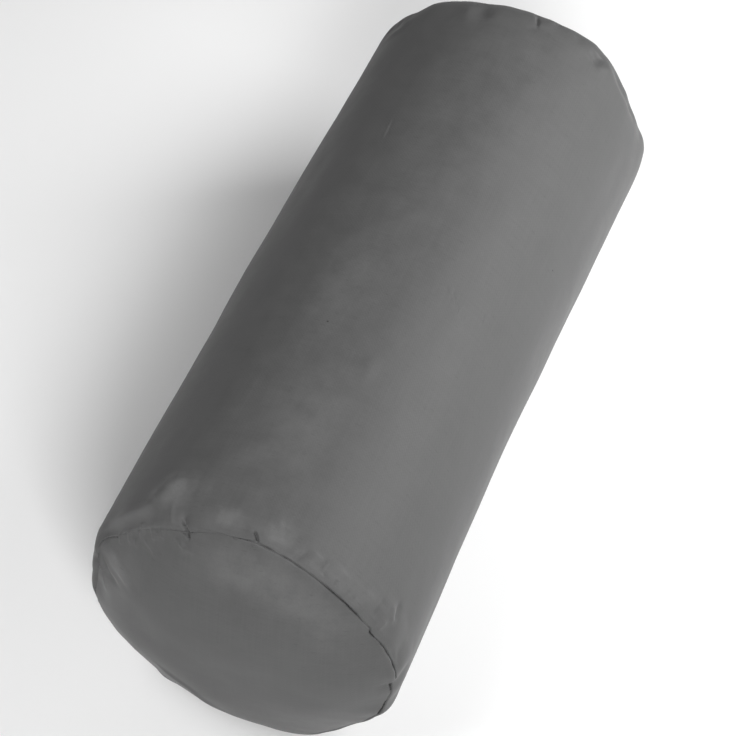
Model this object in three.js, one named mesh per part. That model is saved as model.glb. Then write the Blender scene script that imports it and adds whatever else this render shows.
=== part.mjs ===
// A neck roll pillow: a filled barrel of cloth with a round cloth disc sewn into each end.
// Millimetres, +Z up. The roll lies along X on the plane z = 0, and the origin is the middle of its foot.
// Angles run round the roll's axis in degrees, from 0 at the top towards -Y.
import * as THREE from "three";

// Driving dimensions
const overallLength = 400; // over both domed ends
const barrelDiameter = 158; // the filled barrel at its middle
const seamDiameter = 147; // the circle on which each disc is sewn in
const domeHeight = 17; // how far a filled end stands out from its seam
const rimRoll = 20; // length of barrel that turns in to the seam
const barrelCrown = 1; // how much the radius swells from the roll to the middle
const restDepth = 4; // how far the filling gives where the roll lies
const restEase = 1.5; // height over which the cloth leaves the floor
const clothThickness = 2; // of a disc
const seamRound = 1.2; // how far both edges of a seam turn down into it
const seamGap = 0.3; // left between a disc and the barrel
const closingSeamAt = -123; // angle of the seam that closes the barrel, low at the back
const closingSeamDepth = 0.9;
const discHold = 2; // a disc is pulled tight, so its folds die away this many times sooner than the barrel's

// Facets
const turnSteps = 120; // round the axis, one every 3 degrees
const rollSteps = 6; // along each rolled rim
const barrelSteps = 6; // along the straight of the barrel
const domePower = 2.6; // 2 is a plain dome, and more is flatter in the middle
const domeRings = [0.3, 0.56, 0.78, 0.92]; // shares of the seam's radius

// Gathers that the seam draws into both cloths: the angle, the depth, the width along the seam from
// the valley to its shoulders, and how far the fold reaches from the seam.
const nearGathers = [
  { angle: -75, depth: 2.2, width: 6, reach: 40 },
  { angle: -63, depth: 1.5, width: 5, reach: 46 },
  { angle: -48, depth: 0.9, width: 4, reach: 22 },
  { angle: -36, depth: 0.8, width: 4, reach: 24 },
  { angle: -18, depth: 2.4, width: 6, reach: 30 },
  { angle: 3, depth: 1.2, width: 4, reach: 22 },
  { angle: 9, depth: 2.0, width: 4, reach: 18 },
  { angle: 24, depth: 1.2, width: 5, reach: 20 },
  { angle: 36, depth: 1.2, width: 5, reach: 24 },
  { angle: 48, depth: 1.1, width: 5, reach: 24 },
  { angle: 60, depth: 1.5, width: 4, reach: 26 },
  { angle: 75, depth: 1.3, width: 5, reach: 26 },
  { angle: 90, depth: 2.0, width: 5, reach: 22 },
];
const farGathers = [
  { angle: -54, depth: 1.4, width: 7, reach: 30 },
  { angle: -36, depth: 1.0, width: 6, reach: 22 },
  { angle: -9, depth: 1.8, width: 7, reach: 26 },
  { angle: 12, depth: 2.2, width: 4, reach: 18 },
  { angle: 24, depth: 1.2, width: 5, reach: 18 },
  { angle: 39, depth: 2.0, width: 8, reach: 28 },
  { angle: 54, depth: 1.2, width: 5, reach: 20 },
  { angle: 66, depth: 1.5, width: 6, reach: 22 },
  { angle: 81, depth: 1.3, width: 5, reach: 22 },
];
// Low on the roll the gathers are alike, and so they are spread evenly between these angles.
const lowGathers = { from: 108, to: 270, count: 10, depth: 1.2, width: 5, reach: 24 };

// Worked out from the sizes above
const barrelRadius = barrelDiameter / 2;
const seamRadius = seamDiameter / 2;
const seamAt = overallLength / 2 - domeHeight; // of each seam's plane, from the middle of the roll
const axisHeight = barrelRadius - restDepth;
const rollFoot = seamAt - rimRoll; // where the straight of the barrel ends
const rollTop = barrelRadius - barrelCrown; // the radius there
const turnStep = 360 / turnSteps;

const cloth = { color: 0x6b6b6b, roughness: 0.62, metalness: 0 };

function lowRow(index) {
  const { from, to, count, ...size } = lowGathers;
  const even = from + ((to - from) * index) / (count - 1);
  return { angle: turnStep * Math.round(even / turnStep), ...size };
}

const lowRows = Array.from({ length: lowGathers.count }, (_, index) => lowRow(index));
const gathers = { near: [...nearGathers, ...lowRows], far: [...farGathers, ...lowRows] };

// Distance of the outside of an end from the middle of the roll, at a radius.
function domeAt(radius) {
  return seamAt + domeHeight * (1 - (radius / seamRadius) ** domePower);
}

// The domed outside of an end, sunk by a depth, from the axis out to the seam: [along, radius] pairs.
function domeProfile(sunk) {
  return [0, ...domeRings].map((share) => [domeAt(share * seamRadius) - sunk, share * seamRadius]);
}

// One end of the barrel from the axis outwards: the face under the disc, the edge of the seam, and the
// rim that rolls over into the straight of the barrel.
function barrelEndProfile() {
  const under = clothThickness + seamGap;
  const profile = domeProfile(under);
  profile.push([seamAt - under, seamRadius - seamGap]);
  profile.push([seamAt - under, seamRadius]);
  profile.push([seamAt - seamRound, seamRadius]);
  for (let step = 1; step <= rollSteps; step++) {
    const turn = (Math.PI / 2) * (step / rollSteps);
    const along = seamAt - rimRoll * (1 - Math.cos(turn));
    profile.push([along, seamRadius + (rollTop - seamRadius) * Math.sin(turn)]);
  }
  return profile;
}

// The straight of the barrel between its two rims, swelling a little to the middle.
function barrelMiddleProfile() {
  const inner = Array.from({ length: barrelSteps - 1 }, (_, index) => 1 - (2 * (index + 1)) / barrelSteps);
  return inner.map((share) => [-rollFoot * share, rollTop + barrelCrown * (1 - share * share)]);
}

// A disc from the middle of its outside, round its rim and back to the middle of its inside.
function discProfile() {
  const rim = seamRadius - seamGap;
  return [
    ...domeProfile(0),
    [domeAt(rim - seamRound), rim - seamRound],
    [seamAt - seamRound, rim],
    [domeAt(rim) - clothThickness, rim],
    ...domeProfile(clothThickness).reverse(),
  ];
}

// Turns a profile round the axis. A quad is split the same way whether its profile runs outwards or back
// in, so that a disc and the barrel's face under it keep their gap where a gather twists their quads.
function turned(profile) {
  const points = profile.map(([along, radius]) => new THREE.Vector2(radius, along));
  const geometry = new THREE.LatheGeometry(points, turnSteps);
  // How far out each point lies: by its radius, and by its place along the roll where the radii are equal
  const outness = profile.map(([along, radius]) => radius + Math.abs(along) / overallLength);
  const corners = [];
  for (let turn = 0; turn < turnSteps; turn++) {
    for (let row = 0; row < profile.length - 1; row++) {
      const here = turn * profile.length + row;
      const next = here + profile.length;
      if (outness[row + 1] > outness[row]) corners.push(here, next, here + 1, next + 1, here + 1, next);
      else corners.push(here, next, next + 1, here, next + 1, here + 1);
    }
  }
  return geometry.setIndex(corners);
}

function mirrored(profile) {
  return profile.map(([along, radius]) => [-along, radius]);
}

function degreesApart(a, b) {
  return ((((a - b) % 360) + 540) % 360) - 180;
}

// A valley of depth 1 with a raised shoulder on each side.
function foldSection(share) {
  return (1 - share * share) * Math.exp((-share * share) / 2);
}

// How far the gathers of one end draw the cloth in, at an angle and a distance from the seam.
function drawnIn(rows, angle, fromSeam) {
  let sum = 0;
  for (const { angle: at, depth, width, reach } of rows) {
    const across = THREE.MathUtils.degToRad(degreesApart(angle, at)) * seamRadius;
    const left = Math.max(0, 1 - (fromSeam / reach) ** 2) ** 2;
    sum += depth * foldSection(across / width) * left;
  }
  return sum;
}

// The barrel's closing seam is a shallow line from one end's seam to the other's.
function closingSeam(angle, radius) {
  const onSeam = Math.abs(degreesApart(angle, closingSeamAt)) < turnStep / 2;
  return onSeam && radius > seamRadius + seamGap ? closingSeamDepth : 0;
}

// Flat on the floor where the filling gives, and smooth where the cloth leaves it.
function restedHeight(height) {
  if (height <= -restEase) return 0;
  return height < restEase ? (height + restEase) ** 2 / (4 * restEase) : height;
}

// Moves a turned shape's points to where the sewn and filled cloth lies, with the roll along X.
function laid(geometry) {
  const position = geometry.getAttribute("position");
  for (let index = 0; index < position.count; index++) {
    const sideways = position.getX(index);
    const along = position.getY(index);
    const upright = position.getZ(index);
    const radius = Math.hypot(sideways, upright);
    const angle = THREE.MathUtils.radToDeg(Math.atan2(sideways, upright));
    const side = along < 0 ? -1 : 1;
    const rows = along < 0 ? gathers.near : gathers.far;
    // Cloth is drawn towards a ring inside the corner: inwards on the barrel, and along X on a disc.
    const outAlong = Math.max(0, Math.abs(along) - rollFoot);
    const outRadius = Math.max(0, radius - (seamRadius - rimRoll));
    const fromSeam = Math.hypot(Math.abs(along) - seamAt, radius - seamRadius);
    const drawn = drawnIn(rows, angle, radius < seamRadius - seamRound ? discHold * fromSeam : fromSeam);
    const outWhole = Math.hypot(outAlong, outRadius) || 1;
    const laidAlong = along - (side * drawn * outAlong) / outWhole;
    const laidRadius = radius - (drawn * outRadius) / outWhole - closingSeam(angle, radius);
    const turn = THREE.MathUtils.degToRad(angle);
    const height = axisHeight + laidRadius * Math.cos(turn);
    position.setXYZ(index, laidAlong, -laidRadius * Math.sin(turn), restedHeight(height));
  }
  geometry.computeVertexNormals();
  return geometry;
}

function piece(name, profile) {
  const mesh = new THREE.Mesh(laid(turned(profile)), new THREE.MeshStandardMaterial(cloth));
  mesh.name = name;
  return mesh;
}

const barrelEnd = barrelEndProfile();
const barrel = [...mirrored(barrelEnd), ...barrelMiddleProfile(), ...barrelEnd.toReversed()];

const neckRoll = new THREE.Group();
neckRoll.add(
  piece("barrel", barrel),
  piece("end_disc_near", mirrored(discProfile())),
  piece("end_disc_far", discProfile().reverse()),
);

export default neckRoll;
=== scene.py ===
# Neck roll pillow: a filled barrel of dark grey cloth with a round panel sewn into each end.
# Metres, +Z up. The roll lies along X with its near end at -X, and angles round it are in degrees,
# from 0 at the top towards -Y.
import bpy
import bmesh
import math
import numpy as np
from mathutils import Matrix, Vector, noise


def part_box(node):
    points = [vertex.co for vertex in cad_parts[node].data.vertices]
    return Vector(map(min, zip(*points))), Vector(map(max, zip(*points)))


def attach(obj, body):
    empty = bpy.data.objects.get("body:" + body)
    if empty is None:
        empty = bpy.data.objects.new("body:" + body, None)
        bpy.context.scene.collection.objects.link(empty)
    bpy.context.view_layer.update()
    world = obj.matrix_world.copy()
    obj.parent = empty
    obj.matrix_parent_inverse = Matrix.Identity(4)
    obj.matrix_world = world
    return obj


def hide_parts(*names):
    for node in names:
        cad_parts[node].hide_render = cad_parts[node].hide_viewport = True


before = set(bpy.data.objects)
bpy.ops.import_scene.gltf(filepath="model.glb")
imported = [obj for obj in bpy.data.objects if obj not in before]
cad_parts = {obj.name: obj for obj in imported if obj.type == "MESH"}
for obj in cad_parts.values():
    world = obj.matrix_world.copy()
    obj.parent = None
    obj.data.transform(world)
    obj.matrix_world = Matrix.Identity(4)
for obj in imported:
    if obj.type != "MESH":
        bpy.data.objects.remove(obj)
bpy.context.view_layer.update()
bpy.ops.object.select_all(action="DESELECT")
print("frame loaded:", ", ".join(sorted(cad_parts)))

mm = 0.001
touch = 0.001 * mm  # a point nearer than this to a line is on it
barrelLow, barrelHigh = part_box("barrel")
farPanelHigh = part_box("end_disc_far")[1]
barrelRadius = (barrelHigh.y - barrelLow.y) / 2
axisHeight = barrelHigh.z - barrelRadius

rollForm = {
    "seamRadius": 73.5 * mm,  # the circle on which each end panel is sewn in
    "domeHeight": 17 * mm,  # of a filled end over its seam
    "domePower": 2.6,  # 2 is a plain dome, and more is flatter in the middle
    "rimRoll": 20 * mm,  # length of barrel that turns in to the seam
    "crown": 1 * mm,  # swell of the barrel's radius from its rims to its middle
    "restEase": 1.5 * mm,  # height over which the cloth leaves the floor
}
seamRadius = rollForm["seamRadius"]
rimRoll = rollForm["rimRoll"]
seamAt = farPanelHigh.x - rollForm["domeHeight"]  # of each seam's plane, from the middle of the roll


def hexToLinear(code):
    # sRGB hex to the linear colour that a shader takes
    parts = [int(code[i:i + 2], 16) / 255 for i in (1, 3, 5)]
    return [c / 12.92 if c <= 0.04045 else ((c + 0.055) / 1.055) ** 2.4 for c in parts] + [1.0]


def addNode(tree, kind, settings=None, inputs=None):
    # one node with its settings, and its sockets set to a value or linked from another node's output
    node = tree.nodes.new("ShaderNode" + kind)
    for name, value in (settings or {}).items():
        setattr(node, name, value)
    for name, value in (inputs or {}).items():
        if isinstance(value, bpy.types.NodeSocket):
            tree.links.new(value, node.inputs[name])
        else:
            node.inputs[name].default_value = value
    return node


def newMaterial(name):
    material = bpy.data.materials.new(name)
    material.use_nodes = True
    return material, material.node_tree.nodes["Principled BSDF"]


def namedRows(columns, rows):
    # settings in rows, each made a dictionary by the names of the columns
    return [dict(zip(columns.split(), row)) for row in rows]


# Camera, at the photograph's angle to the roll

cameraView = {
    "azimuth": -68.39,  # degrees, where 0 looks along +Y
    "elevation": 50.26,
    "distance": 1289 * mm,
    "aimRight": -8.65 * mm,  # of the picture's middle from the middle of the roll
    "aimUp": -9.75 * mm,
    "lens": 126.9,
    "sensor": 36,
}


def addCamera(view):
    turn, rise = math.radians(view["azimuth"]), math.radians(view["elevation"])
    back = Vector((math.sin(turn) * math.cos(rise), -math.cos(turn) * math.cos(rise), math.sin(rise)))
    right = Vector((math.cos(turn), math.sin(turn), 0))
    up = back.cross(right)
    aim = Vector((0, 0, axisHeight)) + right * view["aimRight"] + up * view["aimUp"]
    bpy.ops.object.camera_add(location=aim + back * view["distance"])
    camera = bpy.context.object
    camera.rotation_euler = (-back).to_track_quat("-Z", "Y").to_euler()
    camera.data.lens = view["lens"]
    camera.data.sensor_width = view["sensor"]
    bpy.context.scene.camera = camera


addCamera(cameraView)

# Floor and light

studio = {
    "floorSize": 12.0,
    "floorColour": "#f2f2f2",
    "floorRoughness": 0.8,
    "worldStrength": 0.0,  # all the light comes from the lamps
}
# Soft square lamps: where each stands and what it is aimed at in metres, its size in metres and its watts
studioLights = [
    {"name": "key", "from": (-2.13, -1.23, 1.8), "to": (0, 0, 0.075), "size": 1.0, "power": 72},
    {"name": "side", "from": (0.28, -0.51, 0.45), "to": (0.12, 0, 0.075), "size": 0.5, "power": 5.4},
    {"name": "left", "from": (-0.45, 0.43, 0.94), "to": (-0.1, 0, 0.075), "size": 0.6, "power": 5.0},
    {"name": "back", "from": (0.95, 0.46, 1.0), "to": (0.15, 0, 0.075), "size": 0.9, "power": 1.3},
]


def addStudio():
    scene = bpy.context.scene
    scene.view_settings.view_transform = "Standard"
    scene.world = bpy.data.worlds.new("studio")
    scene.world.use_nodes = True
    background = scene.world.node_tree.nodes["Background"]
    background.inputs["Strength"].default_value = studio["worldStrength"]
    bpy.ops.mesh.primitive_plane_add(size=studio["floorSize"])
    floor = bpy.context.object
    floor.name = "floor"
    paper, shader = newMaterial("white_paper_sweep")
    shader.inputs["Base Color"].default_value = hexToLinear(studio["floorColour"])
    shader.inputs["Roughness"].default_value = studio["floorRoughness"]
    floor.data.materials.append(paper)
    for light in studioLights:
        place = Vector(light["from"])
        bpy.ops.object.light_add(type="AREA", location=place)
        lamp = bpy.context.object
        lamp.name = light["name"] + "_light"
        lamp.data.size = light["size"]
        lamp.data.energy = light["power"]
        lamp.visible_camera = False
        aim = Vector(light["to"]) - place
        lamp.rotation_euler = aim.to_track_quat("-Z", "Y").to_euler()


addStudio()
print("camera, floor and lights made")

# The sewn cover as one skin: both end panels and the barrel

coverSkin = {
    "sides": 240,  # points round the roll
    "gridRadius": 52 * mm,  # inside this a panel is a plain grid
    "panelSteps": {"first": 0.8 * mm, "growth": 1.18, "last": 2.0 * mm},  # from the seam inwards
    "barrelSteps": {"first": 0.3 * mm, "growth": 1.12, "last": 7.0 * mm},  # from the seam to the middle
}

# Soft folds that the seam draws into both cloths before the filling settles: the angle, the depth in mm, the
# width in mm from the valley to its shoulders, how far in mm the fold reaches on the barrel and on the panel,
# and the share of its depth that is left at the seam itself.
foldColumns = "angle depth width onBarrel onPanel atSeam"
nearFolds = namedRows(foldColumns, [
    (-86, 0.3, 5, 22, 8, 0.3),
    (-73, 1.0, 5, 24, 16, 0.6),
    (-57, 0.8, 6, 26, 10, 0.3),
    (-40, 0.5, 5, 20, 8, 0.2),
    (-18, 0.2, 5, 8, 3, 0.4),
    (3, 0.4, 4, 14, 4, 0.1),
    (8, 0.5, 3, 9, 4, 0.2),
    (17, 0.7, 5, 24, 4, 0.1),
    (24, 0.6, 3, 13, 4, 0.1),
    (33, 0.8, 4, 16, 4, 0.1),
    (47, 0.7, 4, 14, 4, 0.1),
    (57, 1.0, 5, 24, 4, 0.1),
    (66, 1.0, 4, 28, 4, 0.1),
    (77, 0.9, 5, 26, 4, 0.1),
    (89, 1.2, 4, 20, 6, 0.4),
    (103, 0.8, 5, 20, 6, 0.2),
])
farFolds = namedRows(foldColumns, [
    (-68, 0.9, 6, 24, 8, 0.2),
    (-42, 0.9, 7, 24, 8, 0.2),
    (-25, 0.5, 6, 22, 8, 0.1),
    (-10, 1.3, 6, 28, 8, 0.15),
    (12, 1.2, 4, 18, 6, 0.2),
    (20, 0.8, 5, 18, 6, 0.2),
    (29, 0.7, 5, 18, 6, 0.1),
    (38, 1.4, 7, 26, 8, 0.0),
    (54, 0.8, 6, 24, 6, 0.2),
    (66, 0.7, 5, 22, 6, 0.3),
    (78, 0.7, 5, 22, 6, 0.3),
    (92, 0.7, 5, 22, 6, 0.3),
])
# Low on the roll the folds are alike, and so they are spread evenly between these angles.
lowFolds = {"from": 116, "to": 264, "count": 11,
            "fold": {"depth": 0.8, "width": 5, "onBarrel": 22, "onPanel": 6, "atSeam": 0.15}}
foldRise = 4 * mm  # distance from the seam over which a fold comes to its full depth

# A sewn and filled end is not quite round: how far in mm its corner stands out of the plain form, by angle.
nearCorner = namedRows("angle out", [
    (-180, -1.6), (-172, -2.1), (-166, -3.2), (-160, -1.8), (-145, -0.7), (-131, -3.2), (-119, -2.6),
    (-101, -1.5), (-93, -0.5), (-83, -0.8), (-77, -0.5), (-70, 0.9), (-60, -1.8), (-45, -2.4),
    (-22, -2.2), (-12, -1.3), (55, -1.2), (100, 0.0), (112, 0.4), (118, -1.1), (128, -2.0), (137, -1.9),
    (149, 0.0), (160, 0.5), (172, -0.6),
])
farCorner = namedRows("angle out", [
    (-180, -0.5), (-70, 0.0), (-61, 0.9), (-52, 0.0), (-45, -1.1), (-35, -0.1), (-27, -0.3),
    (-10, -1.9), (2, -1.9), (18, -0.5), (36, 1.2), (45, 0.4), (58, -2.0), (70, -2.8), (80, -1.4),
    (92, 2.2), (100, -0.4),
])
cornerReach = 14 * mm  # distance from the seam over which the corner comes back to the plain form
# Nor is the barrel quite straight: broad swells, and hollows with a negative height. Each has its angle and
# spread in degrees, and its middle, its reach to both ends and its height in mm.
barrelSwells = namedRows("angle spread x nearReach farReach height", [
    (107, 45, -10, 170, 175, -3.9),
    (-71, 30, -160, 18, 75, 0.7),
    (-69, 30, 90, 90, 80, -0.5),
])


def allFolds(rows):
    low = lowFolds
    step = (low["to"] - low["from"]) / (low["count"] - 1)
    return rows + [{"angle": low["from"] + step * i, **low["fold"]} for i in range(low["count"])]


def domeAt(radius):
    # distance of a panel's outside from the middle of the roll
    return seamAt + rollForm["domeHeight"] * (1 - (radius / seamRadius) ** rollForm["domePower"])


def barrelRadiusAt(fromSeam):
    # the rim rolls up from the seam, and the straight swells a little to the middle
    rimRadius = barrelRadius - rollForm["crown"]
    rim = np.clip(1 - fromSeam / rimRoll, 0, 1)
    middle = (seamAt - fromSeam) / (seamAt - rimRoll)
    rolled = seamRadius + (rimRadius - seamRadius) * np.sqrt(1 - rim ** 2)
    return np.where(fromSeam < rimRoll, rolled, rimRadius + rollForm["crown"] * (1 - middle ** 2))


def formPoints(end, angle, fromSeam):
    # places on the filled form without any fold
    panelRadius = np.clip(seamRadius + fromSeam, 0, seamRadius)
    onPanel = fromSeam < 0
    radius = np.where(onPanel, panelRadius, barrelRadiusAt(np.maximum(fromSeam, 0)))
    along = np.where(onPanel, domeAt(panelRadius), seamAt - fromSeam)
    turn = np.radians(angle)
    return np.stack([end * along, -radius * np.sin(turn), axisHeight + radius * np.cos(turn)], axis=-1)


def gradedPlaces(reach, first, growth, last):
    # distances from 0 to reach, with steps that grow from first to last
    places, step = [0.0], first
    while places[-1] < reach:
        places.append(places[-1] + step)
        step = min(step * growth, last)
    return [place * reach / places[-1] for place in places]


def skinStations():
    # (x, radius) of each ring, from the near panel's grid to the far one's
    panelWidth = seamRadius - coverSkin["gridRadius"]
    panelRadii = [seamRadius - place for place in gradedPlaces(panelWidth, **coverSkin["panelSteps"])]
    panel = [(domeAt(radius), radius) for radius in reversed(panelRadii)]
    barrelPlaces = gradedPlaces(seamAt, **coverSkin["barrelSteps"])
    barrel = [(seamAt - place, float(barrelRadiusAt(place))) for place in barrelPlaces]
    half = panel + barrel[1:]
    return [(-x, radius) for x, radius in half] + [(x, radius) for x, radius in reversed(half[:-1])]


def buildSkin():
    stations = skinStations()
    x, radius = stations[0]
    bpy.ops.mesh.primitive_circle_add(vertices=coverSkin["sides"], radius=radius,
                                      location=(x, 0, axisHeight), rotation=(0, math.radians(90), 0))
    skin = bpy.context.object
    skin.name = "barrel_cover"
    bpy.ops.object.transform_apply()
    bpy.ops.object.mode_set(mode="EDIT")
    bpy.ops.mesh.select_all(action="SELECT")
    for (x0, radius0), (x1, radius1) in zip(stations, stations[1:]):
        bpy.ops.mesh.extrude_region_move(TRANSFORM_OT_translate={"value": (x1 - x0, 0, 0)})
        bpy.ops.transform.resize(value=(1, radius1 / radius0, radius1 / radius0),
                                 center_override=(x1, 0, axisHeight))
    bpy.ops.mesh.fill_grid(span=coverSkin["sides"] // 4)
    bpy.ops.mesh.select_all(action="DESELECT")
    mesh = bmesh.from_edit_mesh(skin.data)
    for vert in mesh.verts:
        vert.select = vert.co.x < x + touch
    mesh.select_flush(True)
    bpy.ops.mesh.fill_grid(span=coverSkin["sides"] // 4)
    bpy.ops.mesh.select_all(action="SELECT")
    bpy.ops.mesh.normals_make_consistent(inside=False)
    bpy.ops.object.mode_set(mode="OBJECT")
    return skin


def editPiece(piece, kind):
    # into edit mode with nothing selected, ready to select points, edges or faces
    bpy.ops.object.select_all(action="DESELECT")
    piece.select_set(True)
    bpy.context.view_layer.objects.active = piece
    bpy.ops.object.mode_set(mode="EDIT")
    bpy.ops.mesh.select_mode(type=kind)
    bpy.ops.mesh.select_all(action="DESELECT")


def readVectors(points, field):
    values = np.empty(len(points) * 3)
    points.foreach_get(field, values)
    return values.reshape(-1, 3)


def readCoords(mesh):
    return readVectors(mesh.vertices, "co")


def readNormals(mesh):
    return readVectors(mesh.vertices, "normal")


def writeCoords(mesh, coords):
    mesh.vertices.foreach_set("co", coords.ravel())
    mesh.update()


def readForm(mesh):
    # where each point lay on the plain form, kept so that later stages know its place on the cloth
    return readVectors(mesh.attributes["formed"].data, "vector")


def clothPlaces(form):
    # of each point: its end (-1 near, 1 far), its angle, and its distance from that end's seam,
    # which is positive on the barrel and negative on the panel
    end = np.where(form[:, 0] < 0, -1, 1)
    radius = np.hypot(form[:, 1], form[:, 2] - axisHeight)
    angle = np.degrees(np.arctan2(-form[:, 1], form[:, 2] - axisHeight))
    fromSeam = seamAt - np.abs(form[:, 0])
    onPanel = fromSeam < -touch
    return end, angle, np.where(onPanel, np.minimum(radius - seamRadius, 0), np.maximum(fromSeam, 0))


def inwardWays(form):
    # towards a ring inside the corner: inwards on the barrel, and along X on a panel
    radial = form - [0, 0, axisHeight]
    radial[:, 0] = 0
    radius = np.linalg.norm(radial, axis=1)
    radial /= np.maximum(radius, 1e-9)[:, None]
    outAlong = np.maximum(0, np.abs(form[:, 0]) - (seamAt - rimRoll))
    outRadius = np.maximum(0, radius - (seamRadius - rimRoll))
    whole = np.maximum(np.hypot(outAlong, outRadius), 1e-9)
    ways = -radial * (outRadius / whole)[:, None]
    ways[:, 0] = -np.sign(form[:, 0]) * outAlong / whole
    return ways


def degreesApart(angle, other):
    return (angle - other + 180) % 360 - 180


def byAngle(angle, rows, column):
    # a column given in mm, drawn evenly from one row's angle to the next, all round the roll
    return np.interp(angle, [row["angle"] for row in rows], [row[column] * mm for row in rows], period=360)


def foldDepths(end, angle, fromSeam):
    # how far the seam's soft folds draw the cloth in at each point
    depths = np.zeros(len(angle))
    for side, rows in ((-1, allFolds(nearFolds)), (1, allFolds(farFolds))):
        for row in rows:
            share = np.radians(degreesApart(angle, row["angle"])) * seamRadius / (row["width"] * mm)
            reach = np.where(fromSeam < 0, row["onPanel"], row["onBarrel"]) * mm
            fade = np.clip(1 - (fromSeam / reach) ** 2, 0, 1) ** 2
            risen = 1 - (1 - row["atSeam"]) * np.exp(-(fromSeam / foldRise) ** 2)
            valley = (1 - share ** 2) * np.exp(-share ** 2 / 2)
            depths += np.where(end == side, row["depth"] * mm * valley * fade * risen, 0)
    return depths


def cornerHeights(end, angle, fromSeam):
    # how far an end's corner stands out of the plain form
    out = np.where(end < 0, byAngle(angle, nearCorner, "out"), byAngle(angle, farCorner, "out"))
    return out * np.exp(-(fromSeam / cornerReach) ** 2)


def swellHeights(form, angle, fromSeam):
    heights = np.zeros(len(angle))
    for row in barrelSwells:
        along = form[:, 0] - row["x"] * mm
        share = along / (np.where(along < 0, row["nearReach"], row["farReach"]) * mm)
        around = np.exp(-(degreesApart(angle, row["angle"]) / row["spread"]) ** 2)
        heights += row["height"] * mm * np.clip(1 - share ** 2, 0, 1) * around
    return heights * (fromSeam > 0)


def layOnFloor(coords):
    # flat on the floor where the filling gives, and smooth where the cloth leaves it
    ease = rollForm["restEase"]
    height = coords[:, 2]
    coords[:, 2] = np.where(height < ease, np.maximum(height + ease, 0) ** 2 / (4 * ease), height)
    return coords


def foldSkin(skin):
    form = formPoints(*clothPlaces(readCoords(skin.data)))  # lifts the panels' grids to their domes
    keep = skin.data.attributes.new("formed", "FLOAT_VECTOR", "POINT")
    keep.data.foreach_set("vector", form.ravel())
    end, angle, fromSeam = clothPlaces(form)
    depths = foldDepths(end, angle, fromSeam) - cornerHeights(end, angle, fromSeam)
    depths -= swellHeights(form, angle, fromSeam)
    writeCoords(skin.data, layOnFloor(form + inwardWays(form) * depths[:, None]))


settling = {
    "barrelEase": 0.05,  # share of spare cloth that is gathered into a seam from the barrel
    "panelEase": 0.02,  # and from the near panel, round its pinched corner only
    "pinchAt": -60,  # angle of that corner
    "pinchWidth": 30,
    "easeReach": 16 * mm,
    "heldFrom": 60 * mm,  # the barrel is held past this distance from a seam
    "freeTo": 30 * mm,  # and free up to this one
    "heldBelow": 0.5 * mm,  # it is held where it rests, too
    "frames": 20,
    "cap": 6 * mm,  # most that a point may move
    "cloth": {"quality": 6, "mass": 0.15, "use_pressure": True, "uniform_pressure_force": 20,
              "tension_stiffness": 15, "compression_stiffness": 15, "shear_stiffness": 5,
              "bending_stiffness": 0.05},
}


def cutCloth(start, end, angle, fromSeam):
    # the cloth as it was cut, with the spare width that its seams gather in
    pinch = np.exp(-(degreesApart(angle, settling["pinchAt"]) / settling["pinchWidth"]) ** 2) * (end < 0)
    ease = np.where(fromSeam < 0, settling["panelEase"] * pinch, settling["barrelEase"])
    spare = ease * np.exp(-np.abs(fromSeam) / settling["easeReach"])
    cut = start.copy()
    cut[:, 1] *= 1 + spare
    cut[:, 2] = axisHeight + (start[:, 2] - axisHeight) * (1 + spare)
    return cut


def holdCloth(skin, start, fromSeam):
    # the seams, the middle of the barrel and what lies on the floor stay where they are
    free, held = settling["freeTo"], settling["heldFrom"]
    grip = np.clip((fromSeam - free) / (held - free), 0, 1)
    grip[(np.abs(fromSeam) < touch) | (start[:, 2] < settling["heldBelow"])] = 1
    group = skin.vertex_groups.new(name="held")
    for index in np.flatnonzero(grip > 0):
        group.add([int(index)], float(grip[index]), "REPLACE")


def settleCloth(skin):
    # the filling presses the sewn cloth out, and the spare cloth at the seams puckers
    start = readCoords(skin.data)
    end, angle, fromSeam = clothPlaces(readForm(skin.data))
    skin.shape_key_add(name="sewn")
    cutKey = skin.shape_key_add(name="cut")
    cutKey.data.foreach_set("co", cutCloth(start, end, angle, fromSeam).ravel())
    holdCloth(skin, start, fromSeam)
    cloth = skin.modifiers.new("settle", "CLOTH")
    cloth.settings.vertex_group_mass = "held"
    cloth.settings.rest_shape_key = cutKey
    cloth.settings.effector_weights.gravity = 0
    for name, value in settling["cloth"].items():
        setattr(cloth.settings, name, value)
    cloth.collision_settings.use_collision = False
    cloth.collision_settings.use_self_collision = False
    cloth.point_cache.frame_start = 1
    cloth.point_cache.frame_end = settling["frames"]
    scene = bpy.context.scene
    for step in range(1, settling["frames"] + 1):
        scene.frame_set(step)
    settled = skin.evaluated_get(bpy.context.evaluated_depsgraph_get()).to_mesh()
    moved = readCoords(settled) - start
    far = np.linalg.norm(moved, axis=1)
    print("settled: moved up to %.1f mm, mean %.2f mm" % (far.max() / mm, far.mean() / mm))
    moved *= np.minimum(1, settling["cap"] / np.maximum(far, 1e-9))[:, None]
    skin.modifiers.remove(cloth)
    skin.shape_key_clear()
    skin.vertex_groups.clear()
    writeCoords(skin.data, start + moved)
    scene.frame_set(1)


skin = buildSkin()
foldSkin(skin)
print("skin built:", len(skin.data.vertices), "points,", len(skin.data.polygons), "faces")
settleCloth(skin)
finer = skin.modifiers.new("finer", "SUBSURF")
finer.levels = finer.render_levels = 1
bpy.ops.object.modifier_apply(modifier="finer")

# Seams and creases, worked into the settled cloth

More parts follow.
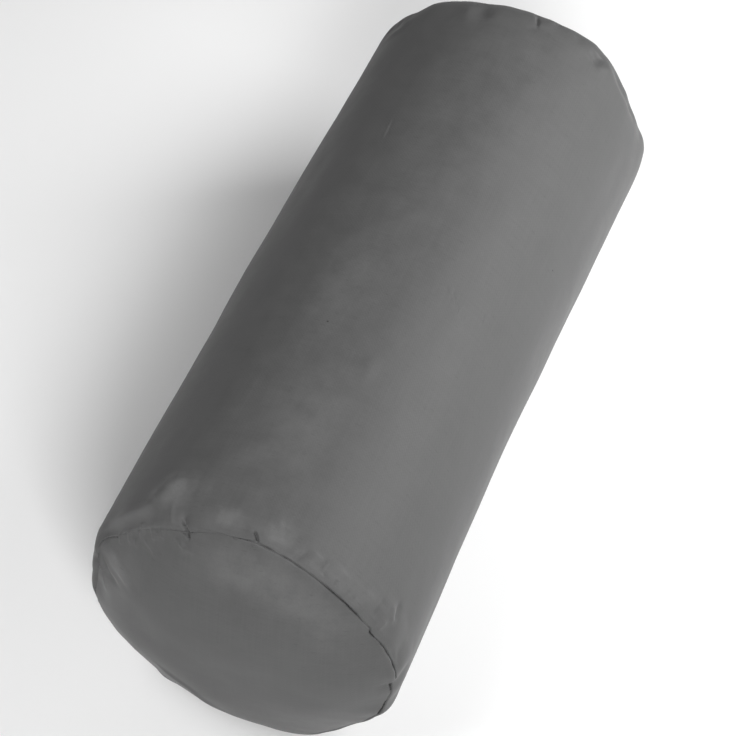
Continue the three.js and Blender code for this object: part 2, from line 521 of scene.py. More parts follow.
# The near seam's line: how far in mm it lies to the barrel's side of its circle, and how deep it is drawn in.
nearSeam = namedRows("angle shift depth", [
    (-180, -0.5, 1.6),
    (-166, -1.0, 1.8),
    (-154, -2.5, 2.0),
    (-144, -2.5, 2.0),
    (-134, -0.5, 1.6),
    (-120, 0.0, 1.2),
    (-97, 0.6, 1.6),
    (-89, -1.0, 2.1),
    (-83, -1.5, 2.2),
    (-77, -2.0, 2.3),
    (-71.2, -3.0, 2.1),
    (-69.5, -2.0, 1.9),
    (-67, 0.4, 1.7),
    (-65.5, 2.4, 1.5),
    (-64, 3.2, 1.3),
    (-61.5, 3.2, 0.8),
    (-57, 1.9, 0.7),
    (-53, 0.4, 0.5),
    (-49, 0.2, 0.3),
    (-44, 0.0, 0.05),
    (-30, -0.9, 0.04),
    (-23, -1.3, 0.2),
    (-18, -1.5, 0.5),
    (-13, -0.9, 0.12),
    (-9, -0.4, 0.04),
    (-5, 0.1, 0.16),
    (0, 0.5, 0.35),
    (7, 1.5, 1.8),
    (23, 0.8, 2.3),
    (40, 0.2, 2.3),
    (56, 0.5, 2.2),
    (60, 1.0, 2.0),
    (61.5, 0.0, 2.0),
    (70, 1.5, 2.4),
    (82, 2.2, 2.4),
    (88, 2.5, 2.4),
    (89, 0.2, 2.0),
    (96, 0.8, 2.0),
    (110, 0.0, 1.6),
])
endSeam = {
    "lip": 1.0 * mm,  # the cloth turns down into the seam over this width
    "shiftReach": 6 * mm,  # the cloth beside the seam's line follows it this far
    "farDepth": 1.2 * mm,
    "uneven": 0.3,  # how much of the depth comes and goes along the seam
    "waves": [(37, 0), (59, 80)],  # in which it does: how many to a turn, and each one's start in degrees
    "gapShare": 0.44,  # gap between the two cloths, as a share of the seam's depth
    "aside": 0.5 * mm,  # a step along the form that gives the way from the seam
    "turnIn": 2.5 * mm,  # width of each cloth that turns inwards at the seam
}
# The seam that closes the barrel, low at the back
closingSeam = {
    "angle": -123,
    "within": 0.05,  # degrees, for the points on its line
    "depth": 0.9 * mm,
    "lip": 1.4 * mm,
    "fromEnds": 2 * mm,  # its stitches start and end this far from the end seams
}

# Creases: the height in mm, negative in a valley, the width in mm, and the path, in angles and distances from
# the seam in mm, which are negative on the panel.
creaseColumns = "height width path"
nearCreases = namedRows(creaseColumns, [
    # the rim's flat face towards the seam, and its shoulder, which bends up round the dimple
    (-1.0, 4.0, [(-64, 4), (-45, 4), (-32, 4)]),
    (1.0, 2.8, [(-68, 11), (-56, 9), (-45, 9), (-38, 10), (-34, 12)]),
    (2.1, 5.6, [(-34.5, 11.5), (-31.8, 16.5), (-29, 22), (-25, 26)]),
    (-0.6, 3.5, [(-12, 4), (10, 4), (35, 4), (62, 4)]),
    (0.4, 5.5, [(-10, 11), (15, 12), (40, 12), (64, 12)]),
    # the dimple that crosses the seam, the streak beside it and the drag lines under it
    (-2.2, 0.8, [(-19.8, 4.0), (-19.2, 2.0), (-18.6, 0), (-18.2, -2.0), (-17.8, -3.8)]),
    (-0.7, 2.2, [(-20, 6.5), (-19.2, 2), (-18.2, -3)]),
    (0.6, 1.3, [(-23.6, 0.5), (-25.2, 5), (-26.3, 11)]),
    (0.7, 1.3, [(-23, -4), (-19.5, -9), (-14.8, -10)]),
    (0.5, 1.2, [(-22.2, -6), (-20, -11.5)]),
    # the slit that runs into the seam, and the valley and the puffs beside it
    (-2.0, 0.6, [(5.9, 5.0), (6.3, 4.2), (7.0, 2.8), (7.7, 1.2), (8.2, 0.2)]),
    (-0.6, 1.6, [(0.6, 10), (1.5, 7.5), (3.8, 3.5)]),
    (0.6, 4.8, [(-9, 9.5), (-4, 11.5), (-0.5, 11.5)]),
    (0.5, 5.5, [(8.5, 11), (14, 13)]),
    (-0.5, 1.6, [(9, 0.4), (16, 0.4), (25, 0.4)]),
    # gathers along the right of the seam
    (-0.8, 1.1, [(22.3, 0.8), (23, 3.8), (24.2, 8)]),
    (0.5, 3.0, [(27, 3), (28.5, 10)]),
    (-0.8, 1.3, [(33.2, 2), (32.4, 5.5), (32.8, 9.5)]),
    (0.6, 3.2, [(37.5, 4), (39, 11)]),
    (-0.4, 0.9, [(39.2, 2), (38.2, 5.2)]),
    (-0.4, 1.1, [(44.6, 1.5), (44.4, 5)]),
    (-0.6, 1.1, [(47.3, 1.2), (47.2, 4.8)]),
    (0.5, 3.0, [(50.5, 3), (51.5, 12)]),
    (-0.8, 2.4, [(57, 4), (57.3, 10), (58, 15)]),
    (0.6, 1.3, [(61.8, 2.5), (62.5, 8.5)]),
    (0.6, 1.6, [(62, 17), (65, 10.5)]),
    (-0.9, 1.6, [(64.6, 21), (66.6, 13)]),
    # the pinched corner: two drag ridges on the panel, the valley between them, and the pit beside them
    (1.5, 3.0, [(-61.2, -1), (-62, -6), (-62.4, -8.5), (-62, -11.6), (-61.8, -15.3), (-63, -19)]),
    (1.4, 1.2, [(-68.2, -0.3), (-69.8, -2), (-73.9, -3.6), (-77.5, -6.9), (-83.7, -8.2)]),
    (-1.2, 2.4, [(-66.5, -3), (-70.5, -6), (-72, -9), (-71.6, -14)]),
    (-1.8, 1.3, [(-69, 2.3), (-72, 2.3), (-75.5, 2.0)]),
    (-1.3, 1.3, [(-73, 0.9), (-80, 0.8), (-90, 0.7)]),
    # short ripples across the seam and on the panel under it
    (0.9, 1.1, [(-51.2, 0.5), (-53.5, -3.4)]),
    (0.9, 1.1, [(-45.8, 0.5), (-48, -4.2)]),
    (0.6, 1.1, [(-44, -3.0), (-45.8, -6.5)]),
    (0.7, 1.2, [(-39, 3), (-39, 0.2), (-41.2, -2.8)]),
    (0.8, 1.6, [(-39.5, -4.5), (-37.5, -8), (-36, -12)]),
    (0.9, 1.1, [(-34, 1), (-34, -2.5), (-34.8, -5.5)]),
    (0.6, 1.2, [(-31.4, -0.8), (-32, -4)]),
    (0.8, 1.1, [(-29.5, 0.5), (-29.5, -2), (-29.8, -5)]),
    # low on the panel its cloth rolls over, and the seam is drawn in under it
    (0.9, 2.2, [(-128, -26), (-140, -29), (-153, -30), (-163, -25), (-174, -18)]),
    (-1.2, 1.8, [(-136, 0.4), (-150, 0.4), (-166, 0.4)]),
    # creases on the barrel
    (0.3, 0.6, [(26.6, 174.5), (30.5, 169), (37.6, 161.8)]),
    (-0.3, 0.8, [(27.8, 173.6), (31.6, 168.4), (38.4, 161.4)]),
    (-0.25, 0.6, [(43.1, 175), (43.6, 169.5)]),
    (0.6, 4.0, [(14.5, 103), (15, 116)]),
])
farCreases = namedRows(creaseColumns, [
    (0.9, 2.0, [(-54, 22), (-48, 21.8), (-44.5, 21), (-43, 17.5), (-41.5, 14)]),
    (-1.0, 4.5, [(-59, 9), (-53, 12), (-47.5, 12)]),
    (-1.0, 4.0, [(-11, 8), (-9, 14), (-8, 20)]),
    (0.4, 3.0, [(-15.8, 9), (-14, 23)]),
    (-1.4, 0.9, [(10.4, 3), (11.6, 7), (12.3, 12.5)]),
    (0.25, 1.4, [(9.2, 4), (10.2, 11)]),
    (-0.4, 2.0, [(9.5, 17.5), (13.5, 13)]),
    (-1.0, 1.4, [(18.5, 4.2), (20.5, 2)]),
    (-0.6, 2.5, [(27, 7), (31, 5)]),
    (-1.4, 3.5, [(39.5, 5), (39, 9), (37, 13.5)]),
    (0.4, 3.0, [(40.8, 14), (47, 6)]),
    (-1.3, 4.5, [(43, 4), (52, 6), (60, 7), (72, 6)]),
    (0.2, 4.5, [(50, 13), (60, 15), (70, 13)]),
    (0.13, 0.7, [(-21.9, 101), (-21, 116)]),
    (-0.13, 0.8, [(-20.8, 102), (-20, 115)]),
    (-0.4, 5.0, [(-2, 163), (2, 155), (5, 147)]),
])
# Painted light: where the cloth stands out, along the near seam and on the near panel, and in two broad
# streaks on the barrel, it is painted paler than its dye to stand in for the light that it catches. Each row
# gives the share of the way to the pale colour, and a width and a path as for a crease.
nearPaintedLight = namedRows("share width path", [
    (0.36, 6.0, [(-62, 4.5), (-46, 5), (-29, 5.5)]),
    (0.6, 7.0, [(-24.5, 8), (-25.5, 16), (-26, 24)]),
    (0.25, 6.5, [(-22, 20), (-13, 21)]),
    (0.44, 5.5, [(-9, 7), (-5, 9), (-1, 7)]),
    (0.42, 6.0, [(8.5, 7), (14, 10), (20, 8)]),
    (0.27, 5.5, [(25, 6), (38, 7), (54, 7)]),
    (0.28, 9.0, [(-97, -11), (-75, -13), (-48, -12)]),
    (0.35, 2.8, [(-61.5, -3), (-62.2, -9), (-62, -16)]),
    (0.3, 4.0, [(-76, -5), (-84, -8), (-94, -10)]),
    (0.34, 11.0, [(-14, -14), (5, -13), (30, -14), (62, -12)]),
    (0.2, 13.0, [(-1, 30), (4, 60), (5, 98)]),
    (0.2, 12.0, [(-12, 124), (-6, 150), (-9, 182)]),
])
creasing = {
    "pathSteps": 14,  # points along a path
    "taper": 0.3,  # share of a path over which it fades at each end
    "endShare": 0.25,  # of its height, left at its ends
    "reach": 4,  # widths from a path, past which nothing is left of it
    "edgePower": {"height": 2, "share": 3},  # a place of painted light ends more sharply than a crease
    "fineWidth": 1.0,  # creases up to this width in mm get a finer mesh
    "fineReach": 2.2 * mm,
    "longFrom": 60 * mm,  # past this distance from a seam the barrel's faces are long
    "cuts": 1,
    "longCuts": 3,
}
# The filling is never quite even: waves of cloth in layers, with the size of each along X and round the roll.
unevenness = [
    {"barrel": 1.1 * mm, "panel": 1.8 * mm, "along": 110 * mm, "round": 34 * mm},
    {"barrel": 0.45 * mm, "panel": 0.5 * mm, "along": 46 * mm, "round": 20 * mm},
    {"barrel": 0.09 * mm, "panel": 0.09 * mm, "along": 17 * mm, "round": 9 * mm},
]
waveSkew = 0.5  # the waves run a little aslant


def seamShifts(end, angle):
    return np.where(end < 0, byAngle(angle, nearSeam, "shift"), 0)


def seamDepths(end, angle):
    drawn = np.where(end < 0, byAngle(angle, nearSeam, "depth"), endSeam["farDepth"])
    waves = sum(np.sin(np.radians(angle * count + start)) for count, start in endSeam["waves"])
    return drawn * (1 + endSeam["uneven"] * waves)


def creasePoints(end, path):
    # points along a crease on the plain form, evenly spaced between the ones that its path gives
    places = np.array(path, float)
    steps = np.linspace(0, len(path) - 1, creasing["pathSteps"])
    angle = np.interp(steps, range(len(path)), places[:, 0])
    fromSeam = np.interp(steps, range(len(path)), places[:, 1]) * mm
    return formPoints(end, angle, fromSeam)


def nearestOnPath(points, form):
    # distance of each place to a path, and how far along the path its nearest point is, from 0 to 1
    best = np.full(len(form), np.inf)
    share = np.zeros(len(form))
    for index, (start, stop) in enumerate(zip(points, points[1:])):
        way = stop - start
        along = np.clip((form - start) @ way / (way @ way), 0, 1)
        distance = np.linalg.norm(form - start - along[:, None] * way, axis=1)
        closer = distance < best
        best[closer] = distance[closer]
        share[closer] = (index + along[closer]) / (len(points) - 1)
    return best, share


def creaseRows():
    return [(-1, row) for row in nearCreases] + [(1, row) for row in farCreases]


def pathRises(form, rows, column):
    # sum of the rises along the rows' paths, which taper to both ends
    rises = np.zeros(len(form))
    for end, row in rows:
        points = creasePoints(end, row["path"])
        width = row["width"] * mm
        reach = creasing["reach"] * width
        low, high = points.min(axis=0) - reach, points.max(axis=0) + reach
        near = np.flatnonzero(((form > low) & (form < high)).all(axis=1))
        distance, share = nearestOnPath(points, form[near])
        taper = np.clip(np.minimum(share, 1 - share) / creasing["taper"], 0, 1)
        taper = creasing["endShare"] + (1 - creasing["endShare"]) * taper * (2 - taper)
        rises[near] += row[column] * taper * np.exp(-(distance / width) ** creasing["edgePower"][column])
    return rises


def refineCreases(skin):
    # a finer mesh where a crease is narrow
    for onLong, cuts in ((False, creasing["cuts"]), (True, creasing["longCuts"])):
        editPiece(skin, "VERT")
        bpy.ops.object.mode_set(mode="OBJECT")
        form = readForm(skin.data)
        chosen = np.zeros(len(form), bool)
        for end, row in creaseRows():
            isFar = row["path"][0][1] * mm > creasing["longFrom"]
            if row["width"] <= creasing["fineWidth"] and isFar == onLong:
                points = creasePoints(end, row["path"])
                chosen |= nearestOnPath(points, form)[0] < creasing["fineReach"]
        skin.data.vertices.foreach_set("select", chosen)
        bpy.ops.object.mode_set(mode="EDIT")
        mesh = bmesh.from_edit_mesh(skin.data)
        mesh.select_flush(True)
        bpy.ops.mesh.subdivide(number_cuts=cuts)
        bpy.ops.object.mode_set(mode="OBJECT")


def unevenHeights(form, fromSeam):
    heights = np.zeros(len(form))
    places = form + np.outer(form[:, 1], [waveSkew, 0, 0])
    for layer in unevenness:
        size = [layer["along"], layer["round"], layer["round"]]
        waves = np.array([noise.noise(Vector(place)) for place in places / size])
        heights += waves * np.where(fromSeam < 0, layer["panel"], layer["barrel"])
    return heights


def workSeams(skin):
    mesh = skin.data
    form = readForm(mesh)
    end, angle, fromSeam = clothPlaces(form)
    shift = seamShifts(end, angle) * np.exp(-(fromSeam / endSeam["shiftReach"]) ** 2)
    slid = formPoints(end, angle, fromSeam + shift) - formPoints(end, angle, fromSeam)
    writeCoords(mesh, readCoords(mesh) + slid)
    fromLine = np.linalg.norm(form - formPoints(end, angle, np.zeros(len(form))), axis=1)
    turned = np.clip(1 - fromLine / endSeam["lip"], 0, 1) ** 2
    heights = pathRises(form, creaseRows(), "height") * mm + unevenHeights(form, fromSeam)
    heights -= seamDepths(end, angle) * turned
    across = np.abs(np.radians(degreesApart(angle, closingSeam["angle"]))) * barrelRadius
    closed = np.clip(1 - across / closingSeam["lip"], 0, 1) ** 2 * (fromSeam > 0)
    heights -= closingSeam["depth"] * closed
    coords = readCoords(mesh) + readNormals(mesh) * heights[:, None]
    coords[:, 2] = np.maximum(coords[:, 2], 0)
    writeCoords(mesh, coords)


def drawClothMap(skin):
    # each cloth's own threads in metres: flat on a panel, and on the barrel round it and along it
    mesh = skin.data
    form = readForm(mesh)
    corners = np.empty(len(mesh.loops), int)
    mesh.loops.foreach_get("vertex_index", corners)
    places = form[corners].reshape(-1, 4, 3)  # every face still has four corners
    turned = (clothPlaces(form)[1] - closingSeam["angle"]) % 360
    turned = turned[corners].reshape(-1, 4)
    crosses = turned.max(axis=1, keepdims=True) > 270  # a face that ends on the closing seam counts on to 360
    turned += np.where((turned < 90) & crosses, 360, 0)
    onBarrel = np.stack([np.radians(turned) * barrelRadius, places[:, :, 0]], axis=2)
    isPanel = np.abs(places[:, :, 0]).mean(axis=1) > seamAt + touch
    spread = np.where(isPanel[:, None, None], places[:, :, 1:], onBarrel)
    mesh.uv_layers.new(name="cloth").data.foreach_set("uv", spread.ravel())


# painted light: how far each point is painted towards the pale colour
def paintLightOnCloth(skin):
    paintedLight = pathRises(readForm(skin.data), [(-1, row) for row in nearPaintedLight], "share")
    skin.data.attributes.new("paintedLight", "FLOAT", "POINT").data.foreach_set("value", paintedLight)


def splitLongFaces(skin):
    # a face beside a finer part has more than four corners, and is split into triangles
    editPiece(skin, "FACE")
    bpy.ops.mesh.select_face_by_sides(number=4, type="GREATER")
    bpy.ops.mesh.quads_convert_to_tris(ngon_method="BEAUTY")
    bpy.ops.object.mode_set(mode="OBJECT")


drawClothMap(skin)
refineCreases(skin)
workSeams(skin)
paintLightOnCloth(skin)
splitLongFaces(skin)
bpy.ops.object.shade_smooth()
print("seams and creases worked:", len(skin.data.vertices), "points")

# Stitches across the seams

stitching = {
    "pitch": 3.0 * mm,
    "length": 1.0 * mm,
    "thick": 0.3 * mm,
    "sides": 6,
    "cuts": 3,  # along its length
    "dome": 0.1 * mm,  # of its ends
    "arch": 0.1 * mm,  # how far a stitch's middle stands over its ends
    "slant": 14,  # degrees
    "slantVaries": 0.5,  # share of the slant that changes along the seam
    "slantStep": 0.7,  # how fast it changes from stitch to stitch
    "lift": -0.5 * mm,  # of its middle over the mouth of the seam
}


def modelStitch():
    # one stitch along X: a length of thread with domed ends and a slight arch
    half = stitching["length"] / 2
    bpy.ops.mesh.primitive_cylinder_add(vertices=stitching["sides"], radius=stitching["thick"] / 2,
                                        depth=stitching["length"], end_fill_type="TRIFAN",
                                        rotation=(0, math.radians(90), 0))
    stitch = bpy.context.object
    bpy.ops.object.transform_apply()
    bpy.ops.object.mode_set(mode="EDIT")
    bpy.ops.mesh.select_all(action="DESELECT")
    mesh = bmesh.from_edit_mesh(stitch.data)
    for edge in mesh.edges:
        edge.select_set(abs(edge.verts[0].co.x - edge.verts[1].co.x) > half)
    bpy.ops.mesh.subdivide_edgering(number_cuts=stitching["cuts"], interpolation="LINEAR")
    mesh = bmesh.from_edit_mesh(stitch.data)
    for vert in mesh.verts:
        share = vert.co.x / half
        if math.hypot(vert.co.y, vert.co.z) < touch:
            vert.co.x += math.copysign(stitching["dome"], share)
        vert.co.z += stitching["arch"] * (1 - share * share)
    bpy.ops.object.mode_set(mode="OBJECT")
    bpy.ops.object.shade_smooth()
    return stitch


def seamLine(skin, end):
    # the seam's points in order round the roll: angles, places and ways out of the seam
    form = readForm(skin.data)
    ends, angle, fromSeam = clothPlaces(form)
    ring = np.flatnonzero((ends == end) & (np.abs(fromSeam) < touch))
    ring = ring[np.argsort(angle[ring])]
    return angle[ring], readCoords(skin.data)[ring], readNormals(skin.data)[ring]


def closingLine(skin):
    # the closing seam's points from the near end to the far one: places along X, places and outward ways
    form = readForm(skin.data)
    angle, fromSeam = clothPlaces(form)[1:]
    onLine = np.abs(degreesApart(angle, closingSeam["angle"])) < closingSeam["within"]
    line = np.flatnonzero(onLine & (fromSeam > closingSeam["fromEnds"]))
    line = line[np.argsort(form[line, 0])]
    outward = form[line] - [0, 0, axisHeight]
    outward[:, 0] = 0
    return form[line, 0], readCoords(skin.data)[line], outward / np.linalg.norm(outward, axis=1)[:, None]


def sewRow(name, stitch, at, places, outward, depths, stops):
    # copies of one stitch along a seam, each across the seam's line, joined into one piece
    def between(values, stop):
        return Vector([np.interp(stop, at, values[:, axis]) for axis in range(3)])
    copies = []
    half = 0.5 * (stops[1] - stops[0])
    for index, stop in enumerate(stops):
        out = between(outward, stop).normalized()
        step = between(places, stop + half) - between(places, stop - half)
        across = out.cross(step).normalized()
        change = stitching["slantVaries"] * noise.noise(Vector((index * stitching["slantStep"], 0, 0)))
        slant = math.radians(stitching["slant"]) * (1 + change)
        across = (across * math.cos(slant) + step.normalized() * math.sin(slant)).normalized()
        side = out.cross(across).normalized()
        turn = Matrix((across, side, across.cross(side))).transposed().to_4x4()
        rise = np.interp(stop, at, depths) + stitching["lift"] - stitching["arch"]
        copy = stitch.copy()
        copy.data = stitch.data.copy()
        copy.matrix_world = Matrix.Translation(between(places, stop) + out * rise) @ turn
        bpy.context.collection.objects.link(copy)
        copies.append(copy)
    bpy.ops.object.select_all(action="DESELECT")
    for copy in copies:
        copy.select_set(True)
    bpy.context.view_layer.objects.active = copies[0]
    bpy.ops.object.join()
    bpy.ops.object.transform_apply()
    row = bpy.context.object
    row.name = name
    return row


def sewSeams(skin):
    stitch = modelStitch()
    count = round(2 * math.pi * seamRadius / stitching["pitch"])
    rows = []
    for end, name in ((-1, "stitches_near"), (1, "stitches_far")):
        angle, places, outward = seamLine(skin, end)
        depths = seamDepths(np.full(len(angle), end), angle)
        stops = np.linspace(angle[0], angle[0] + 360, count, endpoint=False)
        rows.append(sewRow(name, stitch, angle, places, outward, depths, stops))
    at, places, outward = closingLine(skin)
    stops = np.arange(at[0], at[-1], stitching["pitch"])
    depths = np.full(len(at), closingSeam["depth"])
    rows.append(sewRow("stitches_closing", stitch, at, places, outward, depths, stops))
    bpy.data.objects.remove(stitch)
    return rows


stitchRows = sewSeams(skin)
print("stitches sewn:", ", ".join(row.name for row in stitchRows))

# The cloths as pieces of their own: the barrel and its two end panels

panelCloth = {"thickness": 0.7 * mm}
# The wall that closes each end of the filled barrel under its panel
barrelWall = {
    "under": 5.0 * mm,  # under the plain dome
    "midway": 0.5,  # share of the seam's radius at which it bends
    "dome": 2.0 * mm,  # of its middle
}


def takePanel(skin, end, name):
    editPiece(skin, "FACE")
    mesh = bmesh.from_edit_mesh(skin.data)
    formed = mesh.verts.layers.float_vector["formed"]
    for face in mesh.faces:
        along = sum(end * vert[formed].x for vert in face.verts) / len(face.verts)
        face.select_set(along > seamAt + touch)
    bpy.ops.mesh.separate(type="SELECTED")
    bpy.ops.object.mode_set(mode="OBJECT")
    panel = [piece for piece in bpy.context.selected_objects if piece != skin][0]
    panel.name = name
    return panel


def drawBack(piece, way):
    # leaves a gap at the seam: way is -1 for a panel and 1 for the barrel
    form = readForm(piece.data)
    end, angle, fromSeam = clothPlaces(form)
    ring = np.abs(fromSeam) < touch
    gap = endSeam["gapShare"] * seamDepths(end[ring], angle[ring])
    line = formPoints(end[ring], angle[ring], np.zeros(ring.sum()))
    beside = formPoints(end[ring], angle[ring], np.full(ring.sum(), way * endSeam["aside"])) - line
    coords = readCoords(piece.data)
    coords[ring] += beside / np.linalg.norm(beside, axis=1)[:, None] * gap[:, None] / 2
    writeCoords(piece.data, coords)


def turnIn(piece):
    # the edge of the cloth turns inwards at its seam, and stays selected
    editPiece(piece, "EDGE")
    mesh = bmesh.from_edit_mesh(piece.data)
    for edge in mesh.edges:
        edge.select_set(edge.is_boundary)
    bpy.ops.mesh.mark_sharp()
    bpy.ops.mesh.extrude_edges_move(TRANSFORM_OT_translate={"value": (0, 0, 0)})
    mesh = bmesh.from_edit_mesh(piece.data)
    formed = mesh.verts.layers.float_vector["formed"]
    turned = [vert for vert in mesh.verts if vert.select]
    ways = inwardWays(np.array([vert[formed] for vert in turned]))
    for vert, way in zip(turned, ways):
        vert.co += Vector(way) * endSeam["turnIn"]
    bmesh.update_edit_mesh(piece.data)


def closeBarrel(piece):
    # behind each panel the filled barrel is closed by a plain wall
    turnIn(piece)
    middle = barrelWall["midway"] * seamRadius
    for end in (-1, 1):
        mesh = bmesh.from_edit_mesh(piece.data)
        for edge in mesh.edges:
            edge.select_set(edge.is_boundary and edge.verts[0].co.x * end > 0)
        bpy.ops.mesh.extrude_edges_move(TRANSFORM_OT_translate={"value": (0, 0, 0)})
        mesh = bmesh.from_edit_mesh(piece.data)
        for vert in [vert for vert in mesh.verts if vert.select]:
            spoke = Vector((0, vert.co.y, vert.co.z - axisHeight)).normalized() * middle
            vert.co = Vector((end * (domeAt(middle) - barrelWall["under"]), spoke.y, axisHeight + spoke.z))
        bmesh.update_edit_mesh(piece.data)
        bpy.ops.mesh.extrude_edges_move(TRANSFORM_OT_translate={"value": (end * barrelWall["dome"], 0, 0)})
        bpy.ops.mesh.merge(type="CENTER")
    bpy.ops.object.mode_set(mode="OBJECT")


def thickenPanel(piece):
    turnIn(piece)
    bpy.ops.object.mode_set(mode="OBJECT")
    wall = piece.modifiers.new("cloth", "SOLIDIFY")
    wall.thickness = panelCloth["thickness"]
    wall.offset = -1
    bpy.ops.object.modifier_apply(modifier="cloth")


barrel = skin
nearPanel = takePanel(skin, -1, "end_panel_near")
farPanel = takePanel(skin, 1, "end_panel_far")
drawBack(barrel, 1)
drawBack(nearPanel, -1)
drawBack(farPanel, -1)
closeBarrel(barrel)
thickenPanel(nearPanel)
thickenPanel(farPanel)
covers = [barrel, nearPanel, farPanel]
for piece in covers:
    piece.data.calc_loop_triangles()
    print("cut and sewn:", piece.name, len(piece.data.loop_triangles), "triangles")

# Materials

# Plain-woven cotton and polyester, dyed a dark neutral grey. The close weave looks smooth with a soft sheen.
# Up close it shows its threads, uneven slubs along them, a slightly mottled dye and a few dark neps. Where it
# stands out, mostly along the near seam, it is painted a little paler in patches, as painted light.
clothFinish = {
    "name": "plain_woven_polycotton_grey",
    "dark": "#464646",
    "light": "#525252",
    # painted light: the pale colour that stands in for light on the cloth where it stands out
    "paintedLight": "#666666",
    "nep": "#2e2e2e",
    "waver": 1.2,  # of the threads from their straight lines
    "waverScale": 1.5,
    "thread": 0.9 * mm,  # threads are about 0.35 mm apart, and are drawn coarser so that they show
    "slubLength": 30 * mm,
    "slubWidth": 0.9 * mm,
    "slubDetail": 2.0,
    "slubShare": 0.3,  # of the unevenness of the dye
    "slubRelief": 0.4,  # against that of the weave
    "weaveShare": 0.12,  # of the way from dark to light that a thread on top takes
    "mottle": 14 * mm,
    "mottleDetail": 5.0,
    "mottleRoughness": 0.75,
    "toneRange": (0.45, 1.15),  # of the mottle and the slubs, from dark to light
    "lightPatchRange": (0.35, 0.65),  # of the mottle, from the patches with the least painted light to the most
    "lightPatchShare": (0.6, 1.4),
    "nepSpacing": 18 * mm,
    "nepSize": 0.5 * mm,
    "nepShare": 0.4,  # of the places for a nep, how many have one
    "dashLength": 4 * mm,  # thick places in the weft
    "dashWidth": 0.7 * mm,
    "dashRange": (0.72, 0.84),  # only the peaks of its noise show
    "dashShare": 0.22,  # of the way to the colour of a nep
    "roughness": (0.54, 0.68),
    "roughRange": (0.3, 0.7),  # of the mottle, from smooth to dull
    "specular": 0.35,
    "sheen": 0.12,
    "sheenRoughness": 0.45,
    "sheenTint": "#cfcfcf",
    "bump": 0.14,
    "bumpHeight": 0.12 * mm,
}
# Spun polyester sewing thread, a shade darker than the cloth, with a dull fuzzy surface.
threadFinish = {
    "name": "spun_polyester_thread_charcoal",
    "dark": "#2a2a2a",
    "light": "#404040",
    "fuzz": 0.3 * mm,
    "fuzzDetail": 3.0,
    "roughness": 0.75,
}


def drawWeave(tree, threads, finish):
    # plain weave: a thread is over where the other set is under
    waveLength = math.pi / 10  # of the wave texture at scale 1
    waveScale = waveLength / (2 * finish["thread"])
    sets = []
    for direction in ("X", "Y"):
        wave = addNode(tree, "TexWave", {"bands_direction": direction},
                       {"Vector": threads, "Scale": waveScale, "Distortion": finish["waver"],
                        "Detail Scale": finish["waverScale"]})
        sets.append(wave.outputs["Fac"])
    either = addNode(tree, "Math", {"operation": "ADD"}, {0: sets[0], 1: sets[1]})
    both = addNode(tree, "Math", {"operation": "MULTIPLY"}, {0: sets[0], 1: sets[1]})
    weave = addNode(tree, "Math", {"operation": "MULTIPLY_ADD"},
                    {0: both.outputs[0], 1: -2.0, 2: either.outputs[0]})
    return weave.outputs[0]


def drawSlubs(tree, threads, finish):
    # long thin streaks along both sets of threads
    lengthwise, crosswise = 1 / finish["slubLength"], 1 / finish["slubWidth"]
    sets = []
    for stretch in ((lengthwise, crosswise, 1), (crosswise, lengthwise, 1)):
        spun = addNode(tree, "Mapping", None, {"Vector": threads, "Scale": stretch})
        slub = addNode(tree, "TexNoise", None,
                       {"Vector": spun.outputs["Vector"], "Scale": 1.0, "Detail": finish["slubDetail"]})
        sets.append(slub.outputs["Fac"])
    return addNode(tree, "Math", {"operation": "ADD"}, {0: sets[0], 1: sets[1]}).outputs[0]


def drawFlaws(tree, threads, finish):
    # neps, which are small dark knots of fibre, far apart
    spacing = finish["nepSpacing"]
    knots = addNode(tree, "TexVoronoi", None, {"Vector": threads, "Scale": 1 / spacing})
    near = addNode(tree, "Math", {"operation": "LESS_THAN"},
                   {0: knots.outputs["Distance"], 1: finish["nepSize"] / spacing})
    pick = addNode(tree, "SeparateColor", None, {"Color": knots.outputs["Color"]})
    some = addNode(tree, "Math", {"operation": "LESS_THAN"},
                   {0: pick.outputs["Red"], 1: finish["nepShare"]})
    nep = addNode(tree, "Math", {"operation": "MULTIPLY"}, {0: near.outputs[0], 1: some.outputs[0]})
    # and short dark dashes, where the weft is thick
    spun = addNode(tree, "Mapping", None,
                   {"Vector": threads, "Scale": (1 / finish["dashLength"], 1 / finish["dashWidth"], 1)})
    weft = addNode(tree, "TexNoise", None,
                   {"Vector": spun.outputs["Vector"], "Scale": 1.0, "Detail": 0.0})
    least, most = finish["dashRange"]
    dash = addNode(tree, "MapRange", None,
                   {"Value": weft.outputs["Fac"], "From Min": least, "From Max": most,
                    "To Max": finish["dashShare"]})
    flaw = addNode(tree, "Math", {"operation": "MAXIMUM"},
                   {0: nep.outputs[0], 1: dash.outputs["Result"]})
    return flaw.outputs[0]


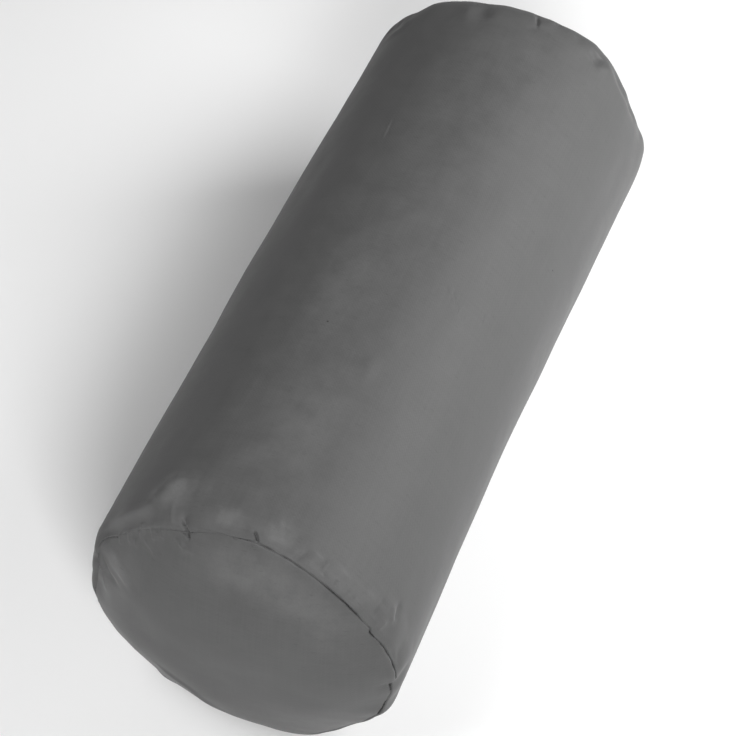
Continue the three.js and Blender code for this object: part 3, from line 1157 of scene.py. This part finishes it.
def drawColour(tree, threads, finish, weave, streaks, mottle):
    dark, light, paintedLightColour, knot = [hexToLinear(finish[name]) for name in ("dark", "light", "paintedLight", "nep")]
    # the dye took unevenly
    shade = addNode(tree, "Math", {"operation": "MULTIPLY_ADD"},
                    {0: streaks, 1: finish["slubShare"], 2: mottle})
    least, most = finish["toneRange"]
    tone = addNode(tree, "MapRange", None,
                   {"Value": shade.outputs[0], "From Min": least, "From Max": most})
    woven = addNode(tree, "Math", {"operation": "MULTIPLY_ADD"},
                    {0: weave, 1: finish["weaveShare"], 2: tone.outputs["Result"]})
    dye = addNode(tree, "Mix", {"data_type": "RGBA"},
                  {"Factor": woven.outputs[0], "A": dark, "B": light})
    # painted light: paler in patches where the cloth stands out
    paintedLight = addNode(tree, "Attribute", {"attribute_name": "paintedLight"})
    least, most = finish["lightPatchRange"]
    little, much = finish["lightPatchShare"]
    lightPatches = addNode(tree, "MapRange", None,
                      {"Value": mottle, "From Min": least, "From Max": most,
                       "To Min": little, "To Max": much})
    paintedLightMix = addNode(tree, "Math", {"operation": "MULTIPLY"},
                  {0: paintedLight.outputs["Fac"], 1: lightPatches.outputs["Result"]})
    withPaintedLight = addNode(tree, "Mix", {"data_type": "RGBA"},
                   {"Factor": paintedLightMix.outputs[0], "A": dye.outputs["Result"], "B": paintedLightColour})
    colour = addNode(tree, "Mix", {"data_type": "RGBA"},
                     {"Factor": drawFlaws(tree, threads, finish), "A": withPaintedLight.outputs["Result"], "B": knot})
    return colour.outputs["Result"]


def weaveCloth(finish):
    material, shader = newMaterial(finish["name"])
    tree = material.node_tree
    threads = addNode(tree, "UVMap", {"uv_map": "cloth"}).outputs["UV"]
    weave = drawWeave(tree, threads, finish)
    streaks = drawSlubs(tree, threads, finish)
    mottle = addNode(tree, "TexNoise", None,
                     {"Vector": threads, "Scale": 1 / finish["mottle"], "Detail": finish["mottleDetail"],
                      "Roughness": finish["mottleRoughness"]}).outputs["Fac"]
    colour = drawColour(tree, threads, finish, weave, streaks, mottle)
    least, most = finish["roughRange"]
    smooth, dull = finish["roughness"]
    rough = addNode(tree, "MapRange", None,
                    {"Value": mottle, "From Min": least, "From Max": most, "To Min": smooth, "To Max": dull})
    relief = addNode(tree, "Math", {"operation": "MULTIPLY_ADD"},
                     {0: streaks, 1: finish["slubRelief"], 2: weave})
    bump = addNode(tree, "Bump", None,
                   {"Height": relief.outputs[0], "Strength": finish["bump"],
                    "Distance": finish["bumpHeight"]})
    tree.links.new(colour, shader.inputs["Base Color"])
    tree.links.new(rough.outputs["Result"], shader.inputs["Roughness"])
    tree.links.new(bump.outputs["Normal"], shader.inputs["Normal"])
    shader.inputs["Specular IOR Level"].default_value = finish["specular"]
    shader.inputs["Sheen Weight"].default_value = finish["sheen"]
    shader.inputs["Sheen Roughness"].default_value = finish["sheenRoughness"]
    shader.inputs["Sheen Tint"].default_value = hexToLinear(finish["sheenTint"])
    return material


def spinThread(finish):
    material, shader = newMaterial(finish["name"])
    tree = material.node_tree
    place = addNode(tree, "TexCoord").outputs["Object"]
    fuzz = addNode(tree, "TexNoise", None,
                   {"Vector": place, "Scale": 1 / finish["fuzz"], "Detail": finish["fuzzDetail"]})
    dark, light = [hexToLinear(finish[name]) for name in ("dark", "light")]
    colour = addNode(tree, "Mix", {"data_type": "RGBA"},
                     {"Factor": fuzz.outputs["Fac"], "A": dark, "B": light})
    tree.links.new(colour.outputs["Result"], shader.inputs["Base Color"])
    shader.inputs["Roughness"].default_value = finish["roughness"]
    return material


clothMaterial = weaveCloth(clothFinish)
threadMaterial = spinThread(threadFinish)
for piece in covers:
    piece.data.materials.append(clothMaterial)
for row in stitchRows:
    row.data.materials.append(threadMaterial)
print("materials made:", clothMaterial.name, "and", threadMaterial.name)

# Each piece hangs on the root body, and the CAD parts that the pieces stand in for are hidden

for piece in covers + stitchRows:
    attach(piece, "root")
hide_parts("barrel")
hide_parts("end_disc_near")
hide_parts("end_disc_far")
